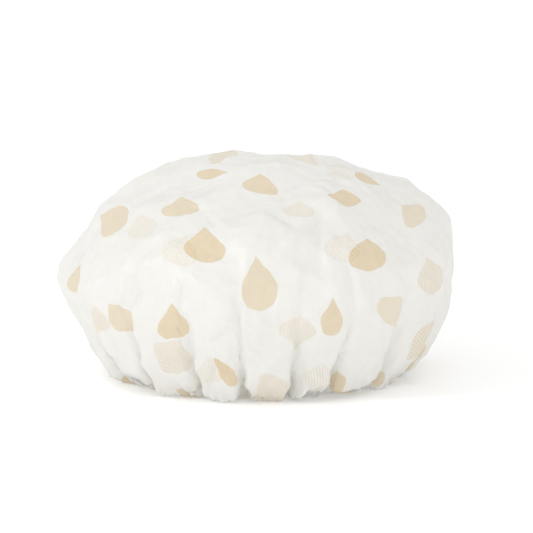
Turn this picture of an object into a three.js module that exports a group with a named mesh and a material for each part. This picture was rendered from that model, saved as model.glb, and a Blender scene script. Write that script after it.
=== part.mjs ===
// A puffed shower cap: one disc of thin printed film, gathered by an elastic band in its turned hem.
// Millimetres, +Z up. The cap stands on its gathered underside with the opening facing down. Its front is -Y.
import * as THREE from "three";

// The puffed crown
const CAP_WIDTH = 240; // along X, at the fullest part
const CAP_DEPTH = 228; // along Y, at the fullest part
const CAP_HEIGHT = 136; // from the resting plane to the top of the crown
const FILM_WALL = 0.4; // thicker than real film, so that the sheet is a solid
const RESTING_CUT = 0.5; // how deep the lowest folds are cut flat where the cap stands
const SIDE_LIFT = 7; // how far the shoulder rises on the right and drops on the left
const LIFT_PEAK_SHARE = 2 / 3; // of the height, where that rise is greatest
const FRONT_SINK = 8; // how far the shoulder drops at the front
const FRONT_SINK_SHARES = [0.5, 0.85]; // of the height, over which that drop grows
// The outline from the top down to the fullest part, as shares of the full radius and of the height.
// One row of the film's points runs round the cap at each entry.
const DOME_SHARES = [
  [0, 1], [0.12, 0.998], [0.38, 0.965], [0.63, 0.89], [0.8, 0.8], [0.92, 0.68], [0.98, 0.55], [1, 0.43],
];
// The outline below that, as shares of the way out from the hem to the full radius and of the height
const UNDER_SHARES = [[0.85, 0.27], [0.73, 0.15], [0.6, 0.06], [0.49, 0.008], [0.41, 0], [0.29, 0]];

// Broad facets: their corners stand in or out by chance. One entry for each row of points from the top down,
// with the share of the height that acts there and how many lobes the corners are apart.
const FACET_HEIGHT = 2.2;
const FACET_ROWS = [
  { share: 0, lobes: 1 },
  { share: 0.3, lobes: 6 },
  { share: 1, lobes: 3 },
  { share: 1, lobes: 2 },
  { share: 1, lobes: 1 },
  { share: 1, lobes: 1 },
  { share: 0.8, lobes: 1 },
  { share: 1, lobes: 1 },
  { share: 0.7, lobes: 1 },
  { share: 0.3, lobes: 1 },
];
const CHANCE_PER_ROW = 8; // other values deal the corners' heights anew
const CHANCE_PER_CORNER = 3.8;
const CHANCE_SCALE = 51;

// Soft swells all over the crown, and one dent in its left side
const SWELL_HEIGHT = 0.9; // of each wave, and the waves add up
const SWELL_LENGTH = 65; // from crest to crest of a wave whose direction below is 1 long
const SWELL_WAVES = [
  { way: [0.9, 0.2, -0.4], start: 100 },
  { way: [-0.3, 0.8, -0.8], start: 120 },
  { way: [0.4, 0.7, -0.2], start: 320 },
  { way: [0.3, 0.2, -0.9], start: 20 },
  { way: [0.8, 0.1, 0.1], start: 260 },
];
const SWELL_FADE_SHARES = [0.1, 0.35]; // of the height, over which the swells grow from nothing
const SWELL_CORE_SHARE = 0.33; // of the height: swells and dent run out from this place on the axis
const DENT_DEPTH = 7;
const DENT_SPREAD = 24;
const DENT_PLACE_SHARES = [-1, -0.1, 0.2]; // of half the width, half the depth and the height

// The folds that gather the film
const LOBE_WIDTH_SHARES = [22, 23, 19, 24, 18, 21, 17, 23, 20, 22, 18, 21, 19, 20, 17, 18, 16, 22];
const FIRST_LOBE = THREE.MathUtils.degToRad(320); // where the first of them starts, from +X towards +Y
const LOBE_SAMPLES = 5; // points across each lobe
const TUCK_DEPTH = 13; // how deep the film folds in between two lobes
const TUCK_START_SHARE = 0.3; // of the rows from the top to the hem
const TUCK_FULL_SHARE = 0.75;
const TUCK_SHARPNESS = 1.5; // above 1, the folds are narrower than the lobes between them
const FOLD_CORE_SHARES = [0.45, 0.2]; // folds run in towards this place, given as in UNDER_SHARES

// The hem, its elastic band and its threads
const OPENING_DIAMETER = 124; // middle of the relaxed elastic band
const HEM_HEIGHT = 9; // of the crown's lower edge
const HEM_TILT = THREE.MathUtils.degToRad(40); // the hem rises inwards at this angle
const HEM_APPROACH = 10; // length of film that already lies at that angle
const SEAM_ALLOWANCE = 2.4; // width of the turned edge that the stitches hold down
const RUFFLE_HEIGHT = 0.8;
const RUFFLE_SAMPLES = 3; // points in one ruffle
const BAND_WIDTH = 6;
const BAND_THICKNESS = 0.6;
const BAND_LAP = 14; // the band's ends lie over each other for this length
const LAP_RUN = 14; // over which the band and the hem swell from one layer to the lap
const THREAD_DIAMETER = 0.4;
const THREAD_SIDES = 4;
const TACK_TURNS = 4;
const CLEARANCE = 0.3; // between pieces that touch or nearly touch

// The hem's cross-section: u runs along the film, from the crown's edge towards the opening.
// w is square to it, from the film's outer face up into the cap.
const threadRadius = THREAD_DIAMETER / 2;
const threadRoom = CLEARANCE + THREAD_DIAMETER + CLEARANCE;
const bandMiddle = FILM_WALL + RUFFLE_HEIGHT + CLEARANCE + BAND_THICKNESS / 2;
const tunnelCeiling = bandMiddle + BAND_THICKNESS / 2 + CLEARANCE + RUFFLE_HEIGHT / 2;
const tunnelTop = tunnelCeiling + FILM_WALL;
const seamEnd = CLEARANCE + SEAM_ALLOWANCE;
const tunnelStart = seamEnd + FILM_WALL;
const bandCentre = tunnelStart + FILM_WALL + threadRoom + BAND_WIDTH / 2;
const tunnelEnd = bandCentre + BAND_WIDTH / 2 + threadRoom;
const turnedUnder = FILM_WALL + CLEARANCE; // underside of the turned edge
const turnedTop = turnedUnder + FILM_WALL;
const foldReach = tunnelEnd + FILM_WALL + CLEARANCE;
const bandRadius = OPENING_DIAMETER / 2;
const hemRadius = bandRadius + Math.cos(HEM_TILT) * bandCentre - Math.sin(HEM_TILT) * bandMiddle;
const lapAngle = Math.PI / 2; // the band's ends lap at the back
const lapShift = (BAND_THICKNESS + CLEARANCE) / 2; // of each end, out of the band's middle
const lapBulge = lapShift + THREAD_DIAMETER + CLEARANCE; // of the hem, on each side of the lap

const lobeCount = LOBE_WIDTH_SHARES.length;
const lobeTotal = LOBE_WIDTH_SHARES.reduce((sum, share) => sum + share);
const columnCount = lobeCount * LOBE_SAMPLES;
const rowCount = DOME_SHARES.length + UNDER_SHARES.length + 1; // the last two lie at the hem
const group = new THREE.Group();

function smooth(from, to, value) {
  return THREE.MathUtils.smoothstep(value, from, to);
}

// The angle at which one column of points stands, spread evenly over its lobe.
function columnAngle(column) {
  const lobe = Math.floor(column / LOBE_SAMPLES) % lobeCount;
  const before = LOBE_WIDTH_SHARES.slice(0, lobe).reduce((sum, share) => sum + share, 0);
  const within = (LOBE_WIDTH_SHARES[lobe] * (column % LOBE_SAMPLES)) / LOBE_SAMPLES;
  return FIRST_LOBE + ((before + within) / lobeTotal) * 2 * Math.PI;
}

// How near an angle is to the band's lap: 1 along the lap, 0 away from it.
function lapSwell(angle) {
  const turn = Math.abs(THREE.MathUtils.euclideanModulo(angle - lapAngle + Math.PI, 2 * Math.PI) - Math.PI);
  return 1 - smooth(BAND_LAP / 2, BAND_LAP / 2 + LAP_RUN, turn * bandRadius);
}

function ruffle(column) {
  return RUFFLE_HEIGHT * Math.cos((2 * Math.PI * (column % RUFFLE_SAMPLES)) / RUFFLE_SAMPLES);
}

// The fullest radius in one direction: an ellipse seen from above.
function fullRadius(angle) {
  const a = CAP_WIDTH / 2;
  const b = CAP_DEPTH / 2;
  return (a * b) / Math.hypot(b * Math.cos(angle), a * Math.sin(angle));
}

// A height before the lowest folds are cut flat, from its share of the whole.
function uncutHeight(share) {
  return share * (CAP_HEIGHT + RESTING_CUT) - RESTING_CUT;
}

// A place below the fullest part in one direction, as (radius, height).
function underPlace(angle, [out, up]) {
  return new THREE.Vector2(THREE.MathUtils.lerp(hemRadius, fullRadius(angle), out), uncutHeight(up));
}

// The crown's outline in one direction, from the top down, round and in to the hem.
function meridian(angle) {
  const dome = DOME_SHARES.map(([out, up]) => new THREE.Vector2(out * fullRadius(angle), uncutHeight(up)));
  const under = UNDER_SHARES.map((place) => underPlace(angle, place));
  const hem = new THREE.Vector2(hemRadius, HEM_HEIGHT);
  const slope = new THREE.Vector2(Math.cos(HEM_TILT), -Math.sin(HEM_TILT));
  return new THREE.SplineCurve([...dome, ...under, hem.clone().addScaledVector(slope, HEM_APPROACH), hem]);
}

// How far the film is drawn in from the outline: nothing on a lobe's crest, most in the folds beside it.
function tuck(column, way) {
  const across = (column % LOBE_SAMPLES) / LOBE_SAMPLES;
  const fold = Math.pow(1 - Math.sin(Math.PI * across), TUCK_SHARPNESS);
  const grow = smooth(TUCK_START_SHARE, TUCK_FULL_SHARE, way);
  const fade = 1 - smooth(TUCK_FULL_SHARE, 1, way);
  return TUCK_DEPTH * fold * grow * fade;
}

// How much of the sideways lift acts at a share of the height: all at the shoulder, none at top and bottom.
function shoulder(high) {
  const rise = LIFT_PEAK_SHARE / (1 - LIFT_PEAK_SHARE);
  const shape = (share) => Math.pow(share, rise) * (1 - share);
  return shape(high) / shape(LIFT_PEAK_SHARE);
}

// A number from -1 to 1 that looks like chance and is the same every time.
function chance(row, corner) {
  const wave = CHANCE_SCALE * Math.sin(CHANCE_PER_ROW * row + CHANCE_PER_CORNER * corner);
  return 2 * (wave - Math.floor(wave)) - 1;
}

// How far the facets move a point out. In every second row the corners stand half a step further round.
function facet(row, lobe) {
  if (row >= FACET_ROWS.length) {
    return 0;
  }
  const { share, lobes } = FACET_ROWS[row];
  const count = lobeCount / lobes;
  const turn = lobe / lobes + (row % 2) / 2;
  const corner = Math.floor(turn);
  const height = THREE.MathUtils.lerp(chance(row, corner % count), chance(row, (corner + 1) % count), turn - corner);
  return FACET_HEIGHT * share * height;
}

// How far the swells and the dent move a point out from the core.
function swell(point) {
  const waves = SWELL_WAVES.map(({ way, start }) => {
    const turns = point.dot(new THREE.Vector3(...way)) / SWELL_LENGTH;
    return SWELL_HEIGHT * Math.sin(2 * Math.PI * turns + THREE.MathUtils.degToRad(start));
  });
  const grown = smooth(...SWELL_FADE_SHARES, point.z / CAP_HEIGHT);
  const half = new THREE.Vector3(CAP_WIDTH / 2, CAP_DEPTH / 2, CAP_HEIGHT);
  const away = point.distanceTo(new THREE.Vector3(...DENT_PLACE_SHARES).multiply(half));
  const dent = DENT_DEPTH * Math.exp(-Math.pow(away / DENT_SPREAD, 2));
  return grown * waves.reduce((sum, wave) => sum + wave) - dent;
}

// A point at (radius, height) in one direction: lifted or dropped, moved out by the swells and by a length of
// its own, and the lowest folds cut flat.
function placed(radius, height, angle, further) {
  const point = new THREE.Vector3(radius * Math.cos(angle), radius * Math.sin(angle), height);
  const high = THREE.MathUtils.clamp(height / CAP_HEIGHT, 0, 1);
  const forward = THREE.MathUtils.clamp(-point.y / (CAP_DEPTH / 2), 0, 1);
  point.z += SIDE_LIFT * (point.x / (CAP_WIDTH / 2)) * shoulder(high);
  point.z -= FRONT_SINK * Math.sin(Math.PI * forward) * smooth(...FRONT_SINK_SHARES, high);
  const core = new THREE.Vector3(0, 0, SWELL_CORE_SHARE * CAP_HEIGHT);
  point.addScaledVector(point.clone().sub(core).normalize(), swell(point) + further);
  point.z = Math.max(point.z, 0);
  return point;
}

// The crown's outer face, as rows of points from the one nearest the top down to the hem.
function crownRows() {
  const rows = Array.from({ length: rowCount }, () => []);
  for (let column = 0; column < columnCount; column++) {
    const angle = columnAngle(column);
    const outline = meridian(angle);
    const core = underPlace(angle, FOLD_CORE_SHARES);
    for (let row = 1; row <= rowCount; row++) {
      const way = row / rowCount;
      const point = outline.getPoint(way);
      const along = outline.getTangent(way);
      const wave = ruffle(column) * smooth(TUCK_FULL_SHARE, 1, way);
      const folded = core.clone().sub(point).setLength(tuck(column, way)).add(point);
      const further = facet(row, column / LOBE_SAMPLES);
      rows[row - 1].push(placed(folded.x + along.y * wave, folded.y - along.x * wave, angle, further));
    }
  }
  return rows;
}

function solidGeometry(points, faces) {
  const geometry = new THREE.BufferGeometry();
  geometry.setAttribute("position", new THREE.Float32BufferAttribute(points.flatMap((p) => p.toArray()), 3));
  geometry.setIndex(faces);
  geometry.computeVertexNormals();
  return geometry;
}

// Faces of a skin over the rows of points below a single top point, number 0.
function skinFaces() {
  const at = (row, column) => 1 + row * columnCount + (column % columnCount);
  const faces = [];
  for (let column = 0; column < columnCount; column++) {
    faces.push(0, at(0, column), at(0, column + 1));
    for (let row = 0; row + 1 < rowCount; row++) {
      faces.push(at(row, column), at(row + 1, column), at(row + 1, column + 1));
      faces.push(at(row, column), at(row + 1, column + 1), at(row, column + 1));
    }
  }
  return faces;
}

// The crown: the outer face, the same face one wall further in, and the rim that joins them at the hem.
function crownFilm() {
  const outer = [placed(0, CAP_HEIGHT, 0, 0), ...crownRows().flat()];
  const outerFaces = skinFaces();
  const normals = solidGeometry(outer, outerFaces).getAttribute("normal");
  const inner = outer.map((point, i) => {
    const normal = new THREE.Vector3().fromBufferAttribute(normals, i);
    const moved = point.clone().addScaledVector(normal, -FILM_WALL);
    moved.z = Math.max(moved.z, FILM_WALL);
    return moved;
  });
  const innerFaces = [];
  for (let i = 0; i < outerFaces.length; i += 3) {
    const [a, b, c] = outerFaces.slice(i, i + 3).map((index) => index + outer.length);
    innerFaces.push(a, c, b);
  }
  const rim = [];
  const edge = 1 + (rowCount - 1) * columnCount;
  for (let column = 0; column < columnCount; column++) {
    const here = edge + column;
    const next = edge + ((column + 1) % columnCount);
    rim.push(here, here + outer.length, next + outer.length, here, next + outer.length, next);
  }
  return solidGeometry([...outer, ...inner], [...outerFaces, ...innerFaces, ...rim]);
}

// A point of the hem's cross-section at (u, w), in one direction round the opening.
function hemPoint(u, w, angle) {
  const radius = hemRadius - Math.cos(HEM_TILT) * u + Math.sin(HEM_TILT) * w;
  const height = HEM_HEIGHT + Math.sin(HEM_TILT) * u + Math.cos(HEM_TILT) * w;
  return new THREE.Vector3(radius * Math.cos(angle), radius * Math.sin(angle), height);
}

// A body swept through cross-sections of equally many points: a closed ring, or a strip with two flat ends.
function sweptGeometry(sections, closed) {
  const size = sections[0].length;
  const faces = [];
  const last = closed ? sections.length : sections.length - 1;
  for (let s = 0; s < last; s++) {
    const next = (s + 1) % sections.length;
    for (let i = 0; i < size; i++) {
      const j = (i + 1) % size;
      faces.push(s * size + i, next * size + j, next * size + i);
      faces.push(s * size + i, s * size + j, next * size + j);
    }
  }
  if (!closed) {
    const end = (sections.length - 1) * size;
    for (let i = 1; i + 1 < size; i++) {
      faces.push(0, i + 1, i);
      faces.push(end, end + i, end + i + 1);
    }
  }
  return solidGeometry(sections.flat(), faces);
}

// The turned hem: the film runs on past the seam, folds back round the band and is stitched down on itself.
function hemCasing() {
  const start = CLEARANCE; // where the crown's edge ends
  const lip = start + CLEARANCE; // where the turned edge ends
  const sections = [];
  for (let column = 0; column < columnCount; column++) {
    const angle = columnAngle(column);
    const bulge = lapBulge * lapSwell(angle);
    const outline = [
      [start, 0],
      [seamEnd, 0],
      [tunnelStart, -bulge],
      [tunnelEnd, -bulge],
      [foldReach, tunnelTop / 2],
      [tunnelEnd, tunnelTop + bulge],
      [tunnelStart, tunnelTop + bulge],
      [seamEnd, turnedTop],
      [lip, turnedTop],
      [lip, turnedUnder],
      [tunnelStart, turnedUnder],
      [tunnelStart + FILM_WALL, tunnelCeiling + bulge],
      [tunnelEnd - FILM_WALL / 2, tunnelCeiling + bulge],
      [foldReach - FILM_WALL, tunnelTop / 2],
      [tunnelEnd - FILM_WALL / 2, FILM_WALL - bulge],
      [tunnelStart + FILM_WALL / 2, FILM_WALL - bulge],
      [seamEnd + FILM_WALL / 2, FILM_WALL],
      [start, FILM_WALL],
    ];
    sections.push(outline.map(([u, w]) => hemPoint(u, w + ruffle(column), angle)));
  }
  return sweptGeometry(sections, true);
}

// The band: one strip laid round once and a little more, so that its end rests on its beginning.
function elasticBand() {
  const lap = BAND_LAP / bandRadius;
  const corners = [[-1, -1], [1, -1], [1, 1], [-1, 1]];
  const sections = [];
  for (let step = 0; step <= columnCount; step++) {
    const share = step / columnCount;
    const angle = lapAngle - lap / 2 + share * (2 * Math.PI + lap);
    const middle = bandMiddle + (share < 0.5 ? -1 : 1) * lapShift * lapSwell(angle);
    sections.push(
      corners.map(([u, w]) =>
        hemPoint(bandCentre + (u * BAND_WIDTH) / 2, middle + (w * BAND_THICKNESS) / 2, angle),
      ),
    );
  }
  return sweptGeometry(sections, false);
}

// A thread along a line of points, of few sides.
function threadGeometry(line, closed) {
  const sections = line.map((point, i) => {
    const before = line[closed ? (i + line.length - 1) % line.length : Math.max(i - 1, 0)];
    const after = line[closed ? (i + 1) % line.length : Math.min(i + 1, line.length - 1)];
    const along = after.clone().sub(before).normalize();
    const side = new THREE.Vector3(0, 0, 1).cross(along).normalize();
    const up = along.clone().cross(side);
    return Array.from({ length: THREAD_SIDES }, (_, k) => {
      const turn = (2 * Math.PI * k) / THREAD_SIDES;
      return point
        .clone()
        .addScaledVector(side, threadRadius * Math.cos(turn))
        .addScaledVector(up, threadRadius * Math.sin(turn));
    });
  });
  return sweptGeometry(sections, closed);
}

// A row of stitches round the seam, on the film's outer face or on the turned edge.
function seamThread(w) {
  const line = [];
  for (let column = 0; column < columnCount; column++) {
    line.push(hemPoint(CLEARANCE + SEAM_ALLOWANCE / 2, w + ruffle(column), columnAngle(column)));
  }
  return threadGeometry(line, true);
}

// The thread that joins the band's ends: a few turns over both of them where they lap.
function bandTack() {
  const halfWidth = BAND_WIDTH / 2 + CLEARANCE + threadRadius;
  const halfHeight = lapShift + BAND_THICKNESS / 2 + CLEARANCE + threadRadius;
  const round = [[-1, -1], [0, -1], [1, -1], [1, 1], [0, 1], [-1, 1]];
  const line = [];
  const count = TACK_TURNS * round.length;
  for (let step = 0; step <= count; step++) {
    const [u, w] = round[step % round.length];
    const angle = lapAngle + ((step / count - 0.5) * BAND_LAP) / 2 / bandRadius;
    line.push(hemPoint(bandCentre + u * halfWidth, bandMiddle + w * halfHeight, angle));
  }
  return threadGeometry(line, false);
}

function finish(color, roughness) {
  return new THREE.MeshStandardMaterial({ color, roughness, metalness: 0, side: THREE.DoubleSide });
}

function add(name, geometry, material) {
  const mesh = new THREE.Mesh(geometry, material);
  mesh.name = name;
  group.add(mesh);
  return mesh;
}

const film = finish(0xf2f1ec, 0.4);
const elastic = finish(0xf4f2ee, 0.85);
const thread = finish(0xfaf9f6, 0.7);

const crown = add("crown_film", crownFilm(), film);
add("hem_casing", hemCasing(), film);
add("elastic_band", elasticBand(), elastic);
add("elastic_join_thread", bandTack(), thread);
add("hem_needle_thread", seamThread(-CLEARANCE - threadRadius), thread);
add("hem_bobbin_thread", seamThread(turnedTop + CLEARANCE + threadRadius), thread);

// The frame's origin is below the middle of the crown, on the resting plane.
crown.geometry.computeBoundingBox();
const middle = crown.geometry.boundingBox.getCenter(new THREE.Vector3());
group.position.set(-middle.x, -middle.y, 0);

export default group;
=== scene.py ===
# A puffed shower cap of thin printed film, its hem gathered by an elastic tape, standing on its opening.
# Lengths are millimetres until a piece is made, +Z is up and the camera looks along +Y.
import math

import bpy
import numpy as np
from mathutils import Color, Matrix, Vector
from mathutils.bvhtree import BVHTree
from mathutils.geometry import delaunay_2d_cdt


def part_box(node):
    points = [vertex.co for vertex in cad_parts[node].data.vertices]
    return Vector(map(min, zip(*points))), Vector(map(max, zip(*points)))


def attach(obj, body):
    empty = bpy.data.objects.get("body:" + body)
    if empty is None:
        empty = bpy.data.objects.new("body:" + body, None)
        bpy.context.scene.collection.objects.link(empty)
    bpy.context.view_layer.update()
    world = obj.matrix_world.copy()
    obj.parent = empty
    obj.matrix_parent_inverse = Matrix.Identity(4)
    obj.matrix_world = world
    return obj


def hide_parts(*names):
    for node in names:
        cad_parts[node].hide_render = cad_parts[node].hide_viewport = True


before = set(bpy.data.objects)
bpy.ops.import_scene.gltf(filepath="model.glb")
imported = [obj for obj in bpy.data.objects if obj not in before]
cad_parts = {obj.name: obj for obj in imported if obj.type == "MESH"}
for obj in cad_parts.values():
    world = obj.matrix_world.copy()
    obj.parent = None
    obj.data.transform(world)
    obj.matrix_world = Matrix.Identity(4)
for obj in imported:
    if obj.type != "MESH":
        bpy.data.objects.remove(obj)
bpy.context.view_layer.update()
MM = 0.001
FACE_CORNERS = 4
# Keeps a divisor above zero and a row before the last
TINY = 1e-6


def node_box(name):
    """The lowest and highest corner of a CAD node, in millimetres."""
    low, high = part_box(name)
    return np.array(low) / MM, np.array(high) / MM


# The crown, from the frame
CROWN_LOW, CROWN_HIGH = node_box("crown_film")
HALF_WIDTH = CROWN_HIGH[0]
HALF_DEPTH = CROWN_HIGH[1]
HEIGHT = CROWN_HIGH[2]
MEAN_RADIUS = (HALF_WIDTH + HALF_DEPTH) / 2
SEAM_LOW, SEAM_HIGH = node_box("hem_needle_thread")
RING_CENTRE = (SEAM_LOW + SEAM_HIGH) / 2

# The outline, as in the part's source
RESTING_CUT = 0.5
SIDE_LIFT = 7
LIFT_PEAK_SHARE = 2 / 3
FRONT_SINK = 8
FRONT_SINK_SHARES = (0.5, 0.85)
FACET_HEIGHT = 2.2
# For each row of the outline, the share of that height and how many lobes the facets' corners are apart
FACET_ROWS = [
    (0, 1), (0.3, 6), (1, 3), (1, 2), (1, 1), (1, 1), (0.8, 1), (1, 1), (0.7, 1), (0.3, 1), (0, 1), (0, 1),
]
CHANCE_PER_ROW = 8
CHANCE_PER_CORNER = 3.8
CHANCE_SCALE = 51
SWELL_HEIGHT = 0.9
SWELL_LENGTH = 65
# Each wave's direction, and where it starts in degrees
SWELL_WAVES = [
    ((0.9, 0.2, -0.4), 100), ((-0.3, 0.8, -0.8), 120), ((0.4, 0.7, -0.2), 320), ((0.3, 0.2, -0.9), 20),
    ((0.8, 0.1, 0.1), 260),
]
SWELL_FADE_SHARES = (0.1, 0.35)
SWELL_CORE_SHARE = 0.33
DENT_DEPTH = 7
DENT_SPREAD = 24
DENT_PLACE_SHARES = (-1, -0.1, 0.2)
DOME_SHARES = [
    (0, 1), (0.12, 0.998), (0.38, 0.965), (0.63, 0.89), (0.8, 0.8), (0.92, 0.68), (0.98, 0.55), (1, 0.43),
]
UNDER_SHARES = [(0.85, 0.27), (0.73, 0.15), (0.6, 0.06), (0.49, 0.008), (0.41, 0), (0.29, 0)]
FOLD_CORE_SHARES = (0.2, 0.1)
LOBE_WIDTH_SHARES = [22, 23, 19, 24, 18, 21, 17, 23, 20, 22, 18, 21, 19, 20, 17, 18, 16, 22]
FIRST_LOBE = math.radians(320)

# The hem: u runs along the film from the seam towards the opening, w is square to it, up into the cap
HEM_RADIUS = 66.6
HEM_HEIGHT = 9
HEM_TILT = math.radians(40)
HEM_APPROACH = 10
SEAM_U = 1.35
BAND_RADIUS = 62
BAND_CENTRE = 7.5
BAND_MIDDLE = 1.8
BAND_WIDTH = 6
BAND_THICKNESS = 0.6
BAND_LAP = 14
LAP_RUN = 14
LAP_ANGLE = math.pi / 2
LAP_SHIFT = 0.45
LAP_BULGE = 1.15
# Rows of the turned hem after the seam, as (u, w): under the band, round it and back onto the seam
HEM_ROWS = [
    (1.3, 0), (2.8, -0.2), (4.2, -1.2), (6, -1.65), (9, -1.65), (11.2, -1.3), (12.9, 0), (13.3, 1.8),
    (12.9, 3.6), (11.2, 4.9), (9, 5.25), (6, 5.25), (4.3, 4.2), (3.2, 1.8), (2.6, 0.7), (1.3, 0.7),
    (0.4, 0.7),
]
TUNNEL_ROWS = range(2, 14)
# How far the tunnel's two sides stand back from those rows, so that the ruffles clear the band
TUNNEL_ROOM = 2

# The film's net of points and its slack
RINGS = 64
RING_SIDES = 6
POINTS_IN_RUFFLE = 4
RUFFLES = RING_SIDES * RINGS // POINTS_IN_RUFFLE
RUFFLE_HEIGHT = 4.4
TOP_SLACK_SHARE = 0.02
SIDE_SLACK_SHARE = 0.15
SIDE_SLACK_RUN_SHARES = (0.2, 0.65)
STEEPEST_GROWTH = 0.999
SMALLEST_RADIUS = 1
HEM_FULLNESS = 4
HEM_FULLNESS_FROM_SHARE = 0.45
TUCK_RUN_SHARES = (0.49, 0.72)
TUCK_SPREAD_SHARES = (0.8, 1.3)
TUCK_START_SPREAD_SHARE = 0.08
TUCK_ROUNDING = 1.1
STEEPEST_TUCK = 0.9985
DEEPEST_TUCK = 26
TUCK_STEPS = 120
RUFFLES_FROM_SHARE = 0.8
FOLD_LIMIT_SHARE = 0.8
START_NOISE = 0.35
SEED = 7

# The cloth run, at ten times life size
SIM_SCALE = 0.01
FRAMES = 16
STIFFNESS = 40
DAMPING = 10
CLOTH_SETTINGS = {
    "quality": 8,
    "mass": 0.1,
    "tension_stiffness": STIFFNESS,
    "compression_stiffness": STIFFNESS,
    "shear_stiffness": STIFFNESS / 2,
    "bending_stiffness": 0.5,
    "tension_damping": DAMPING,
    "compression_damping": DAMPING,
    "shear_damping": DAMPING,
    "bending_damping": 1,
    "air_damping": 3,
    "use_pressure": True,
    "uniform_pressure_force": 1,
}
PINNED_SHARE = 0.99
HELD_SHARES = (0.9, 1)

# The camera
IMAGE_SIZE = 533
PIXEL = 0.612
CAMERA_ELEVATION = math.radians(10)
CAMERA_DISTANCE = 2000
CAMERA_TARGET = Vector((4.9, 0, 66.2))
# The way back from there to the camera, and the way up in its picture
CAMERA_BACK = Vector((0, -math.cos(CAMERA_ELEVATION), math.sin(CAMERA_ELEVATION)))
CAMERA_UP = Vector((0, math.sin(CAMERA_ELEVATION), math.cos(CAMERA_ELEVATION)))
SENSOR = 36


def smooth(low, high, value):
    """0 up to low, 1 from high on, and an even rise between them."""
    t = np.clip((value - low) / (high - low), 0, 1)
    return t * t * (3 - 2 * t)


def turned(radius, angle, height):
    """Places or ways at an angle round the axis."""
    return np.stack([radius * np.cos(angle), radius * np.sin(angle), height], -1)


SPLINE_STEPS = 40


def spline(points):
    """A smooth line through rows of values, the first row mirrored across the axis."""
    rows = np.array(points, float)
    ahead = rows[1] * (-1, -1, 1)
    rows = np.vstack([ahead, rows, 2 * rows[-1] - rows[-2]])
    t = np.linspace(0, 1, SPLINE_STEPS, endpoint=False)[:, None]
    parts = []
    for a, b, c, d in zip(rows[:-3], rows[1:-2], rows[2:-1], rows[3:]):
        cubic = (3 * b - a - 3 * c + d) * t ** 3
        square = (2 * a - 5 * b + 4 * c - d) * t ** 2
        parts.append((2 * b + (c - a) * t + square + cubic) / 2)
    return np.vstack(parts + [rows[-2:-1]])


def uncut_height(share):
    return share * (HEIGHT + RESTING_CUT) - RESTING_CUT


def outline():
    """The crown's profile from the top in to the hem: fixed radius, share of the full radius, height."""
    rows = [(0, out, uncut_height(up)) for out, up in DOME_SHARES]
    rows += [((1 - out) * HEM_RADIUS, out, uncut_height(up)) for out, up in UNDER_SHARES]
    approach = (math.cos(HEM_TILT) * HEM_APPROACH, math.sin(HEM_TILT) * HEM_APPROACH)
    rows.append((HEM_RADIUS + approach[0], 0, HEM_HEIGHT - approach[1]))
    rows.append((HEM_RADIUS, 0, HEM_HEIGHT))
    return spline(rows)


def full_radius(angle):
    return HALF_WIDTH * HALF_DEPTH / np.hypot(HALF_DEPTH * np.cos(angle), HALF_WIDTH * np.sin(angle))


def disc_net():
    """A disc of triangles in rings, each with RING_SIDES more points than the last: points and faces."""
    points = [(0.0, 0.0)]
    starts = [0]
    faces = []
    for ring in range(1, RINGS + 1):
        starts.append(len(points))
        outer = RING_SIDES * ring
        inner = max(outer - RING_SIDES, 1)
        for i in range(outer):
            angle = 2 * math.pi * i / outer
            points.append((ring / RINGS * math.cos(angle), ring / RINGS * math.sin(angle)))
        for side in range(RING_SIDES):
            for j in range(ring):
                a = starts[ring] + (side * ring + j) % outer
                b = starts[ring] + (side * ring + j + 1) % outer
                c = starts[ring - 1] + (side * (ring - 1) + j) % inner
                faces.append((c, a, b))
                if j < ring - 1:
                    d = starts[ring - 1] + (side * (ring - 1) + j + 1) % inner
                    faces.append((c, b, d))
    return np.array(points), faces


def lobe_place(angle):
    """An angle's lobe, the angle's place across it, from 0 to 1, and the lobe's width in radians."""
    edges = np.r_[0, np.cumsum(LOBE_WIDTH_SHARES)] / sum(LOBE_WIDTH_SHARES) * 2 * math.pi
    turn = np.mod(angle - FIRST_LOBE, 2 * math.pi)
    lobe = np.clip(np.searchsorted(edges, turn, side="right") - 1, 0, len(LOBE_WIDTH_SHARES) - 1)
    width = edges[lobe + 1] - edges[lobe]
    return lobe, (turn - edges[lobe]) / width, width


def tuck_place(along, half, depth):
    """Where film this far from a tuck's middle lies: its share of the way to mid-lobe, and how deep."""
    steps = np.linspace(0, 1, TUCK_STEPS)[None, :]
    strength = np.minimum(depth / TUCK_ROUNDING, 1)

    def span(end):
        at = end[:, None] * steps
        rounded = np.sqrt(at ** 2 + TUCK_ROUNDING ** 2)
        inside = 1 / (1 + np.exp((rounded - TUCK_ROUNDING - depth[:, None]) / TUCK_ROUNDING))
        slope = np.minimum(inside * at / rounded * strength[:, None], STEEPEST_TUCK)
        return np.sqrt(1 - slope ** 2).mean(1) * end

    rounded = np.sqrt(along ** 2 + TUCK_ROUNDING ** 2) - TUCK_ROUNDING
    deep = TUCK_ROUNDING * np.log1p(np.exp((depth - rounded) / TUCK_ROUNDING)) * strength
    return span(along) / np.maximum(span(half), TINY), deep


def ruffle_wave(angle):
    """How high the ruffles stand at an angle."""
    return RUFFLE_HEIGHT * np.cos(RUFFLES * angle)


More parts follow.
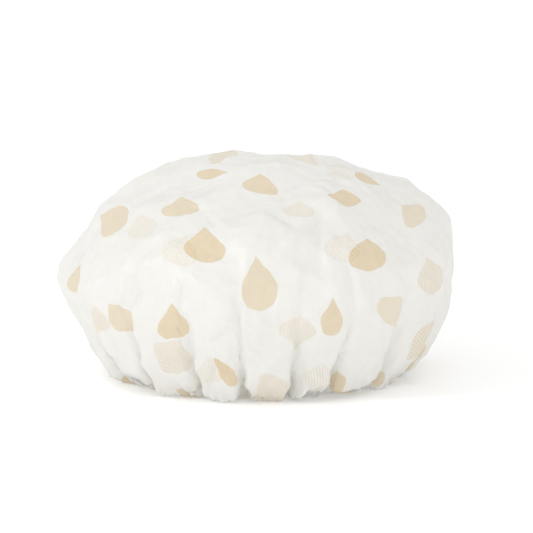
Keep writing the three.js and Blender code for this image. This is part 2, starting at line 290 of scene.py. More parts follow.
class Film:
    """The flat disc, the shape that the cloth wants to have and the folded shape that it starts from."""

    def __init__(self):
        net, self.faces = disc_net()
        self.share = np.hypot(net[:, 0], net[:, 1])
        self.angle = np.arctan2(net[:, 1], net[:, 0])
        line = outline()
        radius = line[:, 0] + line[:, 1] * MEAN_RADIUS
        self.run = np.r_[0, np.cumsum(np.hypot(np.diff(radius), np.diff(line[:, 2])))]
        self.length = self.run[-1]
        self.flat = net * self.length
        self.line = line
        self.radius = radius
        self.slope = np.gradient(np.c_[radius, line[:, 2]], axis=0)

    def along(self, values):
        """Values given along the outline, read at each point of the net."""
        return np.interp(self.share * self.length, self.run, values)

    def unfolded(self, flats):
        """Where places on the flat film lie on the smooth outline, and the way out of it there."""
        reach = np.minimum(np.hypot(flats[:, 0], flats[:, 1]), self.length)
        angle = np.arctan2(flats[:, 1], flats[:, 0])
        rows = (self.radius, self.line[:, 2], self.slope[:, 0], -self.slope[:, 1])
        radius, height, back, out = (np.interp(reach, self.run, values) for values in rows)
        size = np.hypot(back, out)
        return turned(radius, angle, height), turned(out / size, angle, back / size)

    def rest_shape(self):
        """A shape of revolution with the film's own length from top to hem and its own fullness all round."""
        share = self.run / self.length
        slack = 1 + TOP_SLACK_SHARE + SIDE_SLACK_SHARE * smooth(*SIDE_SLACK_RUN_SHARES, share)
        wide = np.maximum.accumulate(self.radius * slack)
        hem = HEM_FULLNESS * HEM_RADIUS
        wide += (hem - wide[-1]) * smooth(HEM_FULLNESS_FROM_SHARE, 1, share)
        steps = np.diff(self.run)
        grow = np.clip(np.diff(wide), -STEEPEST_GROWTH * steps, STEEPEST_GROWTH * steps)
        wide = np.r_[0, np.cumsum(grow)]
        drop = np.r_[0, np.cumsum(np.sqrt(steps ** 2 - grow ** 2))]
        self.wide = wide
        return turned(self.along(wide), self.angle, HEIGHT - self.along(drop))

    def tucks(self):
        """The angle at which each point lies once the film is tucked in between its lobes, and how deep."""
        mean = np.maximum(self.along(self.radius), SMALLEST_RADIUS)
        spare = np.maximum(self.along(self.wide) / mean - 1, 0)
        lobe, across, width = lobe_place(self.angle)
        generator = np.random.default_rng(SEED)
        count = len(LOBE_WIDTH_SHARES)
        fold = np.where(across < 0.5, lobe, (lobe + 1) % count)
        spread = generator.uniform(*TUCK_SPREAD_SHARES, count)[fold]
        later = generator.uniform(-TUCK_START_SPREAD_SHARE, TUCK_START_SPREAD_SHARE, count)[fold]
        grown = smooth(*TUCK_RUN_SHARES, self.share - later) * (1 - smooth(RUFFLES_FROM_SHARE, 1, self.share))
        depth = np.minimum(spare * width * mean / 2, DEEPEST_TUCK) * spread * grown
        half = width * mean / 2 + depth
        share, deep = tuck_place(2 * np.minimum(across, 1 - across) * half, half, depth)
        settled = np.where(across < 0.5, share / 2, 1 - share / 2)
        return self.angle + (settled - across) * width, deep

    def start_shape(self):
        """The outline with the film's spare width in tucks between lobes and in ruffles at the seam."""
        angle, deep = self.tucks()
        full = full_radius(angle)
        radius = self.along(self.line[:, 0]) + self.along(self.line[:, 1]) * full
        place = np.c_[radius, self.along(self.line[:, 2])]
        core_out, core_up = FOLD_CORE_SHARES
        core_radius = HEM_RADIUS + core_out * (full - HEM_RADIUS)
        core = np.c_[core_radius, np.full_like(full, core_up * HEIGHT)]
        to_core = core - place
        reach = np.linalg.norm(to_core, axis=1)
        place += to_core * np.minimum(deep / reach, FOLD_LIMIT_SHARE)[:, None]
        square = np.c_[self.along(self.slope[:, 1]), self.along(-self.slope[:, 0])]
        square /= np.linalg.norm(square, axis=1)[:, None]
        place += square * (smooth(RUFFLES_FROM_SHARE, 1, self.share) * ruffle_wave(angle))[:, None]
        points = turned(place[:, 0], angle, place[:, 1])
        noise = np.random.default_rng(SEED).normal(0, START_NOISE, points.shape)
        return points + noise * (self.share < PINNED_SHARE)[:, None]


def add_object(name, data):
    """A new object in the scene."""
    item = bpy.data.objects.new(name, data)
    bpy.context.scene.collection.objects.link(item)
    return item


def add_mesh(name, points, faces):
    """A new mesh object in the scene."""
    mesh = bpy.data.meshes.new(name)
    mesh.from_pydata(np.asarray(points).tolist(), [], faces)
    return add_object(name, mesh)


def vectors(data, field):
    """A field of a mesh's data as rows of three numbers."""
    values = np.zeros(len(data) * 3, np.float32)
    data.foreach_get(field, values)
    return values.reshape(-1, 3).astype(float)


def add_vectors(mesh, name, domain, values):
    """A layer of vectors at a mesh's points or at the corners of its faces."""
    layer = mesh.attributes.new(name, "FLOAT_VECTOR", domain)
    layer.data.foreach_set("vector", values.astype(np.float32).ravel())


def run_cloth(film, start, rest):
    """The film after it has puffed out under a little pressure, held at the seam."""
    cloth = add_mesh("film_cloth", start * SIM_SCALE, film.faces)
    cloth.shape_key_add(name="Basis")
    key = cloth.shape_key_add(name="rest")
    key.data.foreach_set("co", (rest * SIM_SCALE).ravel())
    pinned = cloth.vertex_groups.new(name="seam")
    pinned.add([int(i) for i in np.flatnonzero(film.share > PINNED_SHARE)], 1, "REPLACE")
    modifier = cloth.modifiers.new("Cloth", "CLOTH")
    settings = modifier.settings
    for name, value in CLOTH_SETTINGS.items():
        setattr(settings, name, value)
    settings.vertex_group_mass = "seam"
    settings.rest_shape_key = key
    settings.effector_weights.gravity = 0
    modifier.collision_settings.use_collision = False
    modifier.point_cache.frame_end = FRAMES
    scene = bpy.context.scene
    scene.frame_end = FRAMES
    for step in range(1, FRAMES + 1):
        scene.frame_set(step)
    puffed = cloth.evaluated_get(bpy.context.evaluated_depsgraph_get())
    points = vectors(puffed.data.vertices, "co") / SIM_SCALE
    bpy.data.objects.remove(cloth)
    scene.frame_set(1)
    return points


def shoulder(high):
    """The share of the sideways lift at a share of the height: 1 at the shoulder, 0 at both ends."""
    rise = LIFT_PEAK_SHARE / (1 - LIFT_PEAK_SHARE)
    return high ** rise * (1 - high) / (LIFT_PEAK_SHARE ** rise * (1 - LIFT_PEAK_SHARE))


def chance(row, corner):
    """A number from -1 to 1 that looks like chance and is the same every time."""
    wave = CHANCE_SCALE * np.sin(CHANCE_PER_ROW * row + CHANCE_PER_CORNER * corner)
    return 2 * (wave - np.floor(wave)) - 1


def row_facet(row, lobe):
    """How far the broad facets move points that lie on one row of the outline."""
    share, lobes = np.array(FACET_ROWS)[row].T
    count = len(LOBE_WIDTH_SHARES) / lobes
    turn = lobe / lobes + row % 2 / 2
    corner = np.floor(turn)
    here = chance(row, corner % count)
    there = chance(row, (corner + 1) % count)
    return FACET_HEIGHT * share * (here + (there - here) * (turn - corner))


def facet(film, points):
    """How far the broad facets move each point, from the rows above and below it."""
    row = np.clip(film.along(np.arange(len(film.line)) / SPLINE_STEPS), 0, len(FACET_ROWS) - 1 - TINY)
    lobe, across, _ = lobe_place(np.arctan2(points[:, 1], points[:, 0]))
    above = row.astype(int)
    upper = row_facet(above, lobe + across)
    lower = row_facet(above + 1, lobe + across)
    return upper + (lower - upper) * (row - above)


def swell(points):
    """How far the soft swells and the dent move each point out from the core."""
    waves = np.zeros(len(points))
    for way, start in SWELL_WAVES:
        turns = points @ way / SWELL_LENGTH
        waves += SWELL_HEIGHT * np.sin(2 * math.pi * turns + math.radians(start))
    place = np.array(DENT_PLACE_SHARES) * (HALF_WIDTH, HALF_DEPTH, HEIGHT)
    dent = DENT_DEPTH * np.exp(-((points - place) ** 2).sum(1) / DENT_SPREAD ** 2)
    return waves * smooth(*SWELL_FADE_SHARES, points[:, 2] / HEIGHT) - dent


def fitted(film, points):
    """The puffed film at the frame's size: leaning, swollen, and its lowest folds flat on the floor."""
    free = 1 - smooth(*HELD_SHARES, film.share)[:, None]
    size = np.abs(points).max(0)
    points = points * (1 + (np.array([HALF_WIDTH, HALF_DEPTH, HEIGHT]) / size - 1) * free)
    high = np.clip(points[:, 2] / HEIGHT, 0, 1)
    points[:, 2] += SIDE_LIFT * points[:, 0] / HALF_WIDTH * shoulder(high)
    forward = np.clip(-points[:, 1] / HALF_DEPTH, 0, 1)
    points[:, 2] -= FRONT_SINK * np.sin(math.pi * forward) * smooth(*FRONT_SINK_SHARES, high)
    out = points - (0, 0, SWELL_CORE_SHARE * HEIGHT)
    points += out / np.linalg.norm(out, axis=1)[:, None] * (swell(points) + facet(film, points))[:, None]
    points[:, :2] += RING_CENTRE[:2] * (1 - free)
    points[:, 2] = np.maximum(points[:, 2], 0)
    return points


def lap_swell(angle):
    """How near an angle is to the band's lap: 1 along the lap, 0 away from it."""
    turn = np.abs(np.mod(angle - LAP_ANGLE + math.pi, 2 * math.pi) - math.pi)
    return 1 - smooth(BAND_LAP / 2, BAND_LAP / 2 + LAP_RUN, turn * BAND_RADIUS)


def hem_point(u, w, angle):
    """The place of a point of the hem's section at an angle round the opening."""
    radius = HEM_RADIUS - math.cos(HEM_TILT) * u + math.sin(HEM_TILT) * w
    height = HEM_HEIGHT + math.sin(HEM_TILT) * u + math.cos(HEM_TILT) * w
    return turned(radius, angle, height + 0 * angle) + (*RING_CENTRE[:2], 0)


def add_hem(film, points):
    """The net with the turned hem's rows after its last ring: points, flat places and faces."""
    count = RING_SIDES * RINGS
    rim = len(points) - count
    angle = film.angle[rim:]
    faces = list(film.faces)
    rows = [points]
    flats = [film.flat]
    reach = film.length
    before = (0, 0)
    for number, (u, w) in enumerate(HEM_ROWS):
        side = np.sign(w - BAND_MIDDLE) if number in TUNNEL_ROWS else 0
        bulge = side * (TUNNEL_ROOM + LAP_BULGE * lap_swell(angle))
        rows.append(hem_point(u, w + ruffle_wave(angle) + bulge, angle))
        reach += math.hypot(u - before[0], w - before[1])
        before = (u, w)
        flats.append(reach * np.c_[np.cos(angle), np.sin(angle)])
        start = rim + number * count
        for i in range(count):
            j = (i + 1) % count
            faces.append((start + i, start + count + i, start + count + j, start + j))
    film.cut_radius = reach
    return np.vstack(rows), np.vstack(flats), faces


def smoothed(points, flats, faces):
    """The net once subdivided: points, flat places and faces."""
    net = add_mesh("film_net", points, faces)
    add_vectors(net.data, "flat", "POINT", np.c_[flats, np.zeros(len(flats))])
    net.modifiers.new("Subdivision", "SUBSURF").levels = 1
    fine = bpy.data.meshes.new_from_object(net.evaluated_get(bpy.context.evaluated_depsgraph_get()))
    places = vectors(fine.vertices, "co")
    flat = vectors(fine.attributes["flat"].data, "vector")
    polygons = [tuple(p.vertices) for p in fine.polygons]
    bpy.data.objects.remove(net)
    bpy.data.meshes.remove(fine)
    return places, flat[:, :2], polygons


def vertex_normals(points, faces):
    """Normals at the points of a net of quads."""
    quads = np.array(faces)
    across = np.cross(points[quads[:, 2]] - points[quads[:, 0]], points[quads[:, 3]] - points[quads[:, 1]])
    normals = np.zeros_like(points)
    for corner in range(FACE_CORNERS):
        np.add.at(normals, quads[:, corner], across)
    return normals / np.maximum(np.linalg.norm(normals, axis=1), TINY)[:, None]


# Creases: sharp ridges and valleys that fade towards their ends
CREASE_ROUNDING = 0.5
CREASE_COUNT = 240
CREASE_LENGTHS = (18, 70)
CREASE_WIDTHS = (2, 6)
CREASE_HEIGHTS = (0.6, 2.4)
CREASE_STEEPNESS = 1.5
CRUMPLED_SHARES = (0.88, 0.96)
# Small flat panels between corners of different heights, at least this far apart
PANEL_SIZE = 18
PANEL_TRIES = 9000
PANEL_HEIGHTS = (-1.7, 2.1)
CORNER_TOLERANCE = 0.001
# Creases that the photograph shows: both ends in its pixels, then width and height, negative for a valley
PHOTO_CREASES = [
    ((232, 296), (204, 346), 9, 3.9),
    ((262, 232), (238, 278), 8, 2.7),
    ((158, 345), (138, 372), 3, 2.4),
    ((187, 348), (203, 376), 2.5, 1.8),
    ((148, 250), (146, 322), 4, 3.3),
    ((116, 302), (148, 288), 4, -3),
    ((103, 225), (73, 264), 6, -4.5),
    ((297, 258), (297, 314), 4, 3.3),
    ((270, 262), (300, 240), 2, 1.5),
    ((312, 268), (333, 298), 2.5, 1.8),
    ((338, 336), (340, 372), 2, 2),
    ((319, 336), (311, 366), 2.5, 1.7),
    ((348, 207), (288, 223), 8, 2.7),
    ((290, 222), (248, 244), 8, 2.7),
    ((323, 210), (311, 234), 5, -2.7),
    ((342, 268), (380, 282), 6, 2.4),
    ((350, 205), (364, 238), 6, 2.4),
    ((405, 320), (400, 346), 2, 1.7),
    ((404, 345), (386, 372), 2.5, 1.8),
    ((188, 161), (228, 158), 3, -2.4),
    ((230, 158), (282, 158), 1.5, 1.4),
    ((142, 260), (127, 287), 2.5, -2.1),
    ((163, 316), (155, 344), 3, 1.8),
    ((222, 322), (262, 362), 2.5, 1.5),
]


def crease(points, start, end, width, height):
    """How far one crease lifts each point."""
    run = end - start
    length = np.linalg.norm(run)
    along = (points - start) @ run / length ** 2
    foot = start + np.clip(along, 0, 1)[:, None] * run
    away = np.sqrt(((points - foot) ** 2).sum(1) + CREASE_ROUNDING ** 2)
    fade = np.clip(1 - (2 * along - 1) ** 2, 0, 1)
    return height * fade * np.exp(-away / width)


def panels(film, flats):
    """How far small flat panels lift each point. They join corners that stand a little off the outline."""
    generator = np.random.default_rng(SEED)
    reach = film.length + PANEL_SIZE
    corners = np.zeros((1, 2))
    for corner in generator.uniform(-reach, reach, (PANEL_TRIES, 2)):
        if np.linalg.norm(corners - corner, axis=1).min() > PANEL_SIZE:
            corners = np.vstack([corners, corner])
    places, ways = film.unfolded(corners)
    places += ways * generator.uniform(*PANEL_HEIGHTS, len(corners))[:, None]
    triangles = delaunay_2d_cdt([Vector(corner) for corner in corners], [], [], 0, CORNER_TOLERANCE)[2]
    smooth_places, smooth_ways = film.unfolded(flats)
    lift = np.zeros(len(flats))
    for triangle in triangles:
        a, b, c = corners[list(triangle)]
        second, third = np.linalg.inv(np.array([b - a, c - a]).T) @ (flats - a).T
        within = (second >= 0) & (third >= 0) & (second + third <= 1)
        shares = np.c_[1 - second - third, second, third][within]
        off = shares @ places[list(triangle)] - smooth_places[within]
        lift[within] = (off * smooth_ways[within]).sum(1)
    return lift


def crumpled(points, normals, lift, inside, chosen):
    """The film lifted, with creases by chance and the chosen ones. Points outside the mask stay."""
    generator = np.random.default_rng(SEED)
    open_film = np.flatnonzero(inside)
    for _ in range(CREASE_COUNT):
        index = generator.choice(open_film)
        middle = points[index]
        normal = normals[index]
        steep = np.array([0, 0, 1.0]) - normal * normal[2]
        turn = generator.normal(0, 1, 3)
        way = steep * CREASE_STEEPNESS + turn
        way -= normal * (way @ normal)
        way *= generator.uniform(*CREASE_LENGTHS) / 2 / np.linalg.norm(way)
        height = generator.uniform(*CREASE_HEIGHTS) * generator.choice([-1, 1])
        lift += crease(points, middle - way, middle + way, generator.uniform(*CREASE_WIDTHS), height)
    for places_and_size in chosen:
        lift += crease(points, *places_and_size)
    return points + normals * (lift * inside)[:, None]


def pixel_ray(pixel):
    """The camera's place and the direction through one pixel of the photograph."""
    middle = IMAGE_SIZE / 2
    right = Vector((1, 0, 0)) * (pixel[0] - middle) * PIXEL
    aim = CAMERA_TARGET + right + CAMERA_UP * (middle - pixel[1]) * PIXEL
    eye = CAMERA_TARGET + CAMERA_BACK * CAMERA_DISTANCE
    return eye, (aim - eye).normalized()


def seen_creases(points, faces):
    """The photograph's creases with their ends on the film."""
    tree = BVHTree.FromPolygons(points.tolist(), faces)
    creases = []
    for *pixels, width, height in PHOTO_CREASES:
        ends = [tree.ray_cast(*pixel_ray(pixel))[0] for pixel in pixels]
        if None in ends:
            print("no film under the crease at", *pixels)
        else:
            creases.append((*map(np.array, ends), width, height))
    return creases


# The print. A drop is a disc with two straight sides that run to its tip.
DROP_RADIUS = 12
DROP_TIP = 20
DROP_REACH = 25
DOT_PITCH = 1.5
DOT_RADIUS = 0.42
NO_DROP = 1000
DROP_SIZE_SHARES = (0.5, 1.5)
STRONGEST_LEAN = 0.4
SCATTER_GAP = 43
SCATTER_SHARES = {"plain": 0.62, "dotted": 0.26, "pale": 0.12}
INK_SHARES = (0.8, 1)
PALE_SHARE = 0.4
TINT_SHARE = 0.35
# Film that faces away from the camera by more than this cosine isn't seen
FACING_AWAY = -0.2
# How far off the film a ray starts that looks for more film in front
CLEARANCE = 2
# Drops that the photograph shows: centre, tip and width in its pixels, then the ink's strength and the kind,
# where it isn't plain
PHOTO_DROPS = [
    ((259.5, 290), (257.5, 256), 38, 0.85),
    ((205, 249.5), (205.7, 228.7), 38, 1),
    ((368.5, 256), (368, 232.5), 36, 1),
    ((260, 186.5), (260.7, 175), 37, 0.9),
    ((180, 208), (181, 196), 29, 0.85),
    ((344, 200), (343, 190.7), 30, 1),
    ((209, 173.7), (229.5, 174.5), 9, 1),
    ((364, 178), (380.5, 184), 10, 1),
    ((415, 216), (403, 205), 33, 0.7),
    ((114, 222), (99.5, 214.5), 31, 0.8),
    ((174, 325), (172, 303), 29, 1),
    ((331.5, 322), (334, 298.5), 21, 0.95),
    ((120.5, 320), (107.5, 301.3), 24, 0.8),
    ((392, 312), (402, 297), 23, 0.6),
    ((228, 375), (215, 359), 14, 1),
    ((334, 386), (331, 372), 20, 0.9),
    ((378, 379), (372, 373), 14, 0.8),
    ((424, 341), (426, 333), 9, 1, "tinted"),
    ((75, 281), (78, 262), 9, 0.8),
    ((270, 397), (258, 387), 34, 0.4),
    ((178.7, 252), (185, 232.5), 36, 1, "dotted"),
    ((342.5, 249), (348.7, 230.5), 36, 1, "dotted"),
    ((325, 382), (327.5, 366), 32, 0.9, "dotted"),
    ((212, 373), (208, 356), 34, 0.9, "dotted"),
    ((176, 358), (153, 343), 38, 0.7, "tinted"),
    ((296, 337), (300, 314.4), 34, 0.6, "tinted"),
    ((435, 280), (433, 255), 40, 0.8, "tinted"),
    ((339.5, 172), (345, 160), 30, 0.8, "dotted"),
    ((297.5, 211), (300, 200.5), 33, 0.35, "pale"),
    ((142.5, 229), (140, 215), 24, 0.25, "pale"),
    ((302, 158), (312, 157), 12, 0.4, "pale"),
    ((266, 152.6), (244, 152.6), 4, 0.9),
    ((222, 154.5), (238, 153.5), 5, 0.5, "pale"),
    ((98, 322), (92, 306), 26, 0.4, "pale"),
]


def usual_shape(side, tip):
    """A seen drop's ways to its side and tip, kept near the size and squareness that all drops have."""
    radius = np.linalg.norm(side)
    length = np.linalg.norm(tip)
    ahead = tip / length
    square = np.array([ahead[1], -ahead[0]])
    square *= np.sign(side @ square)
    lean = np.clip(side @ ahead / radius, -STRONGEST_LEAN, STRONGEST_LEAN)
    beside = lean * ahead + math.sqrt(1 - lean ** 2) * square
    low, high = DROP_SIZE_SHARES
    radius = np.clip(radius, low * DROP_RADIUS, high * DROP_RADIUS)
    length = np.clip(length, low * DROP_TIP, high * DROP_TIP)
    return beside * radius, ahead * length


class Print:
    """The places of the drops on the flat film, as local coordinates at the corners of its faces."""

    def __init__(self, points, flats, faces, normals):
        self.points = points
        self.flats = flats
        self.normals = normals
        self.quads = np.array(faces)
        self.middles = flats[self.quads].mean(1)
        self.tree = BVHTree.FromPolygons(points.tolist(), faces)
        self.layers = {}
        self.nearest = {}
        for name in ("drop", "tinted_drop", "dotted_drop"):
            self.layers[name] = np.zeros((len(faces), FACE_CORNERS, 3)) + (NO_DROP, NO_DROP, 0)
            self.nearest[name] = np.full(len(faces), float(DROP_REACH))
        self.placed = []

    def add(self, place, side, tip, ink, kind):
        """One drop at a place on the flat film, with the ways from there to its side and to its tip."""
        axes = np.array([side / DROP_RADIUS, tip / DROP_TIP])
        local = np.c_[(self.flats - place) @ np.linalg.inv(axes), np.full(len(self.flats), ink)]
        if kind == "tinted":
            self.add_layer("tinted_drop", place, local)
        self.add_layer("dotted_drop" if kind in ("dotted", "tinted") else "drop", place, local)
        self.placed.append(place)

    def add_layer(self, name, place, local):
        """Local coordinates for the faces that are nearer to this drop than to any other of its layer."""
        distance = np.linalg.norm(self.middles - place, axis=1)
        mine = distance < self.nearest[name]
        self.layers[name][mine] = local[self.quads[mine]]
        self.nearest[name][mine] = distance[mine]

    def local_normal(self, place, facing):
        """The mean way out of the film near a place, on the side that faces a given way."""
        near = np.linalg.norm(self.points - place, axis=1) < DROP_RADIUS
        near &= self.normals @ facing > 0
        normal = self.normals[near].sum(0)
        return normal / np.linalg.norm(normal)

    def add_seen(self, centre, tip, width, ink, kind="plain"):
        """A drop where the photograph shows it."""
        eye, aim = pixel_ray(centre)
        hit, facing, face, _ = self.tree.ray_cast(eye, aim)
        if hit is None:
            print("no film under the drop at", centre)
            return
        place = np.array(hit)
        normal = self.local_normal(place, -np.sign(facing @ aim) * np.array(facing))
        across = Vector((centre[1] - tip[1], tip[0] - centre[0])).normalized() * width / 2
        ways = []
        for pixel in ((centre[0] + across[0], centre[1] + across[1]), tip):
            eye, aim = (np.array(part) for part in pixel_ray(pixel))
            ways.append(eye + aim * ((place - eye) @ normal / (aim @ normal)) - place)
        near = np.linalg.norm(self.flats - self.middles[face], axis=1) < DROP_RADIUS / 2
        shares = (self.points[near] - place) @ np.linalg.inv(np.array([*ways, normal]))
        table = np.c_[np.ones(len(shares)), shares[:, :2]]
        flat_place, side, tip = np.linalg.lstsq(table, self.flats[near], rcond=None)[0]
        self.add(flat_place, *usual_shape(side, tip), ink, kind)

    def scatter(self, length):
        """Drops all over the film that the photograph doesn't show, no two too close."""
        generator = np.random.default_rng(SEED)
        kinds = list(SCATTER_SHARES)
        weights = list(SCATTER_SHARES.values())
        for index in generator.permutation(len(self.points)):
            place = self.flats[index]
            if np.linalg.norm(place) > length or self.is_seen(self.points[index], self.normals[index]):
                continue
            if np.linalg.norm(np.array(self.placed) - place, axis=1).min() < SCATTER_GAP:
                continue
            turn = generator.uniform(0, 2 * math.pi)
            kind = generator.choice(kinds, p=weights)
            ink = generator.uniform(*INK_SHARES) * (PALE_SHARE if kind == "pale" else 1)
            way = np.array([math.cos(turn), math.sin(turn)])
            self.add(place, DROP_RADIUS * np.array([way[1], -way[0]]), DROP_TIP * way, ink, kind)

    def is_seen(self, place, normal):
        """Whether the photograph would show a drop here."""
        if normal @ np.array(CAMERA_BACK) < FACING_AWAY:
            return False
        start = Vector(place + normal * CLEARANCE) + CAMERA_BACK * CLEARANCE
        return self.tree.ray_cast(start, CAMERA_BACK)[0] is None


# Colours
FULL_CHANNEL = 255


def linear(*channels):
    """A colour as the photograph shows it, its channels from 0 to 255, for a shader's socket."""
    shown = Color([channel / FULL_CHANNEL for channel in channels])
    return (*shown.from_srgb_to_scene_linear(), 1)


WHITE = (1, 1, 1, 1)
FILM_COLOUR = linear(248, 248, 246)
INK_COLOUR = linear(236, 221, 194)
DOT_TINT = linear(240, 226, 200)
ELASTIC_COLOUR = linear(240, 238, 233)
ELASTIC_SHADE = linear(222, 218, 210)
THREAD_COLOUR = linear(246, 244, 239)
THREAD_SHADE = linear(226, 223, 215)

# Finishes
FILM_FINISH = {"Roughness": 0.4, "IOR": 1.48}
ELASTIC_FINISH = {"Roughness": 0.85, "Sheen Weight": 0.2}
THREAD_FINISH = {"Roughness": 0.7}
LET_THROUGH_SHARE = 0.45
# Fine unevenness: noise to the metre and its detail, then the bump's height in metres and its strength
FILM_GRAIN = (900, 3, 0.00012, 0.35)
ELASTIC_GRAIN = (500, 3, 0.00012, 0.6)
THREAD_GRAIN = (2500, 4, 0.0001, 0.6)
# Shallow crumpling in the film's surface: cells to the metre and height in metres
CRUMPLES = [(36, 0.0032), (85, 0.001)]
CELL_STIR = 0.8
STIR_SCALE_SHARE = 0.5
# The elastic's weave
WEFT_PITCH = 0.45
WARP_PITCH = 0.6
WEAVE_SHARE = 0.5
# The sockets of a Mix node that colours use: the share and both colours, and the result
MIX_INPUTS = (0, 6, 7)
MIX_OUTPUT = 2


def feed(tree, node, inputs):
    """A node with its inputs, by name or number, set to values or linked to other nodes' outputs."""
    for key, value in inputs.items():
        if isinstance(value, bpy.types.NodeSocket):
            tree.links.new(value, node.inputs[key])
        else:
            node.inputs[key].default_value = value
    return node


def add_node(tree, kind, inputs, **settings):
    """A new node with its settings and inputs."""
    node = tree.nodes.new(kind)
    for name, value in settings.items():
        setattr(node, name, value)
    return feed(tree, node, inputs)


def new_material(name):
    """A material, its nodes and its shader."""
    material = bpy.data.materials.new(name)
    material.use_nodes = True
    return material, material.node_tree, material.node_tree.nodes["Principled BSDF"]


def object_place(tree):
    return tree.nodes.new("ShaderNodeTexCoord").outputs["Object"]


def coordinates(tree, name):
    """The three numbers of a mesh's layer of vectors."""
    attribute = add_node(tree, "ShaderNodeAttribute", {}, attribute_name=name)
    return add_node(tree, "ShaderNodeSeparateXYZ", {0: attribute.outputs["Vector"]}).outputs


def maths(tree, operation, *values):
    """A Math node's output, its inputs numbers or other outputs."""
    return add_node(tree, "ShaderNodeMath", dict(enumerate(values)), operation=operation).outputs[0]


def noise(tree, place, scale, detail):
    return add_node(tree, "ShaderNodeTexNoise", {"Vector": place, "Scale": scale, "Detail": detail}).outputs


def mix_colour(tree, share, first, second, blend="MIX"):
    inputs = dict(zip(MIX_INPUTS, (share, first, second)))
    return add_node(tree, "ShaderNodeMix", inputs, data_type="RGBA", blend_type=blend).outputs[MIX_OUTPUT]


def bump(tree, height, distance, strength, **normal):
    """A bump's normals, on top of other normals where Normal= gives them."""
    inputs = {"Height": height, "Distance": distance, "Strength": strength, **normal}
    return add_node(tree, "ShaderNodeBump", inputs).outputs["Normal"]


def drop_mask(tree, name):
    """The ink's strength inside the drops of one layer and 0 outside, with the local coordinates."""
    x, y, ink = coordinates(tree, name)
    sine = DROP_RADIUS / DROP_TIP
    cosine = math.sqrt(1 - sine ** 2)
    far = maths(tree, "SQRT", maths(tree, "MULTIPLY_ADD", x, x, maths(tree, "MULTIPLY", y, y)))
    round_part = maths(tree, "LESS_THAN", far, DROP_RADIUS)
    side = maths(tree, "MULTIPLY_ADD", maths(tree, "ABSOLUTE", x), cosine, maths(tree, "MULTIPLY", y, sine))
    inside = maths(tree, "LESS_THAN", side, DROP_RADIUS)
    above = maths(tree, "GREATER_THAN", y, DROP_RADIUS * sine)
    point_part = maths(tree, "MULTIPLY", inside, above)
    return maths(tree, "MULTIPLY", maths(tree, "MAXIMUM", round_part, point_part), ink), x, y


def dot_mask(tree, x, y):
    """1 inside round dots that stand in rows, 0 between them."""
    squares = []
    for axis in (x, y):
        cell = maths(tree, "FRACT", maths(tree, "DIVIDE", axis, DOT_PITCH))
        away = maths(tree, "SUBTRACT", cell, 0.5)
        squares.append(maths(tree, "MULTIPLY", away, away))
    far = maths(tree, "SQRT", maths(tree, "ADD", *squares))
    return maths(tree, "LESS_THAN", far, DOT_RADIUS / DOT_PITCH)


def crumple(tree, place, cells):
    """Pointed cells that meet in sharp lines, so many to the metre, their edges pulled out of line."""
    stir = noise(tree, place, cells * STIR_SCALE_SHARE, 1)["Color"]
    inputs = {0: stir, 1: (CELL_STIR / cells,) * 3, 2: place}
    moved = add_node(tree, "ShaderNodeVectorMath", inputs, operation="MULTIPLY_ADD").outputs[0]
    return add_node(tree, "ShaderNodeTexVoronoi", {"Vector": moved, "Scale": cells}).outputs["Distance"]


def film_material():
    """Thin white film with a soft sheen, let through by light and printed with tan drops."""
    material, tree, shader = new_material("printed_film")
    place = object_place(tree)
    plain, _, _ = drop_mask(tree, "drop")
    tinted, _, _ = drop_mask(tree, "tinted_drop")
    dotted, x, y = drop_mask(tree, "dotted_drop")
    dotted = maths(tree, "MULTIPLY", dotted, dot_mask(tree, x, y))
    colour = mix_colour(tree, maths(tree, "MULTIPLY", tinted, TINT_SHARE), FILM_COLOUR, INK_COLOUR)
    colour = mix_colour(tree, plain, colour, INK_COLOUR)
    colour = mix_colour(tree, dotted, colour, DOT_TINT, "MULTIPLY")
    scale, detail, height, strength = FILM_GRAIN
    crinkled = bump(tree, noise(tree, place, scale, detail)["Fac"], height, strength)
    for cells, height in CRUMPLES:
        crinkled = bump(tree, crumple(tree, place, cells), height, 1, Normal=crinkled)
    feed(tree, shader, {"Base Color": colour, "Normal": crinkled, **FILM_FINISH})
    through = add_node(tree, "ShaderNodeBsdfTranslucent", {"Color": colour, "Normal": crinkled})
    inputs = {0: LET_THROUGH_SHARE, 1: shader.outputs[0], 2: through.outputs[0]}
    blend = add_node(tree, "ShaderNodeMixShader", inputs)
    feed(tree, tree.nodes["Material Output"], {"Surface": blend.outputs[0]})
    return material


def elastic_material():
    """White woven elastic: rubber cores along the tape under fine thread laid across it."""
    material, tree, shader = new_material("ribbed_elastic")
    along, across, _ = coordinates(tree, "tape")
    weft = maths(tree, "SINE", maths(tree, "MULTIPLY", along, 2 * math.pi / WEFT_PITCH))
    warp = maths(tree, "SINE", maths(tree, "MULTIPLY", across, 2 * math.pi / WARP_PITCH))
    weave = maths(tree, "MULTIPLY", weft, warp)
    scale, detail, height, strength = ELASTIC_GRAIN
    uneven = noise(tree, object_place(tree), scale, detail)["Fac"]
    woven = bump(tree, maths(tree, "MULTIPLY_ADD", weave, WEAVE_SHARE, uneven), height, strength)
    shade = mix_colour(tree, uneven, ELASTIC_COLOUR, ELASTIC_SHADE)
    feed(tree, shader, {"Base Color": shade, "Normal": woven, **ELASTIC_FINISH})
    return material


def thread_material():
    """White spun thread."""
    material, tree, shader = new_material("sewing_thread")
    scale, detail, height, strength = THREAD_GRAIN
    fibre = noise(tree, object_place(tree), scale, detail)["Fac"]
    shade = mix_colour(tree, fibre, THREAD_COLOUR, THREAD_SHADE)
    feed(tree, shader, {"Base Color": shade, "Normal": bump(tree, fibre, height, strength), **THREAD_FINISH})
    return material


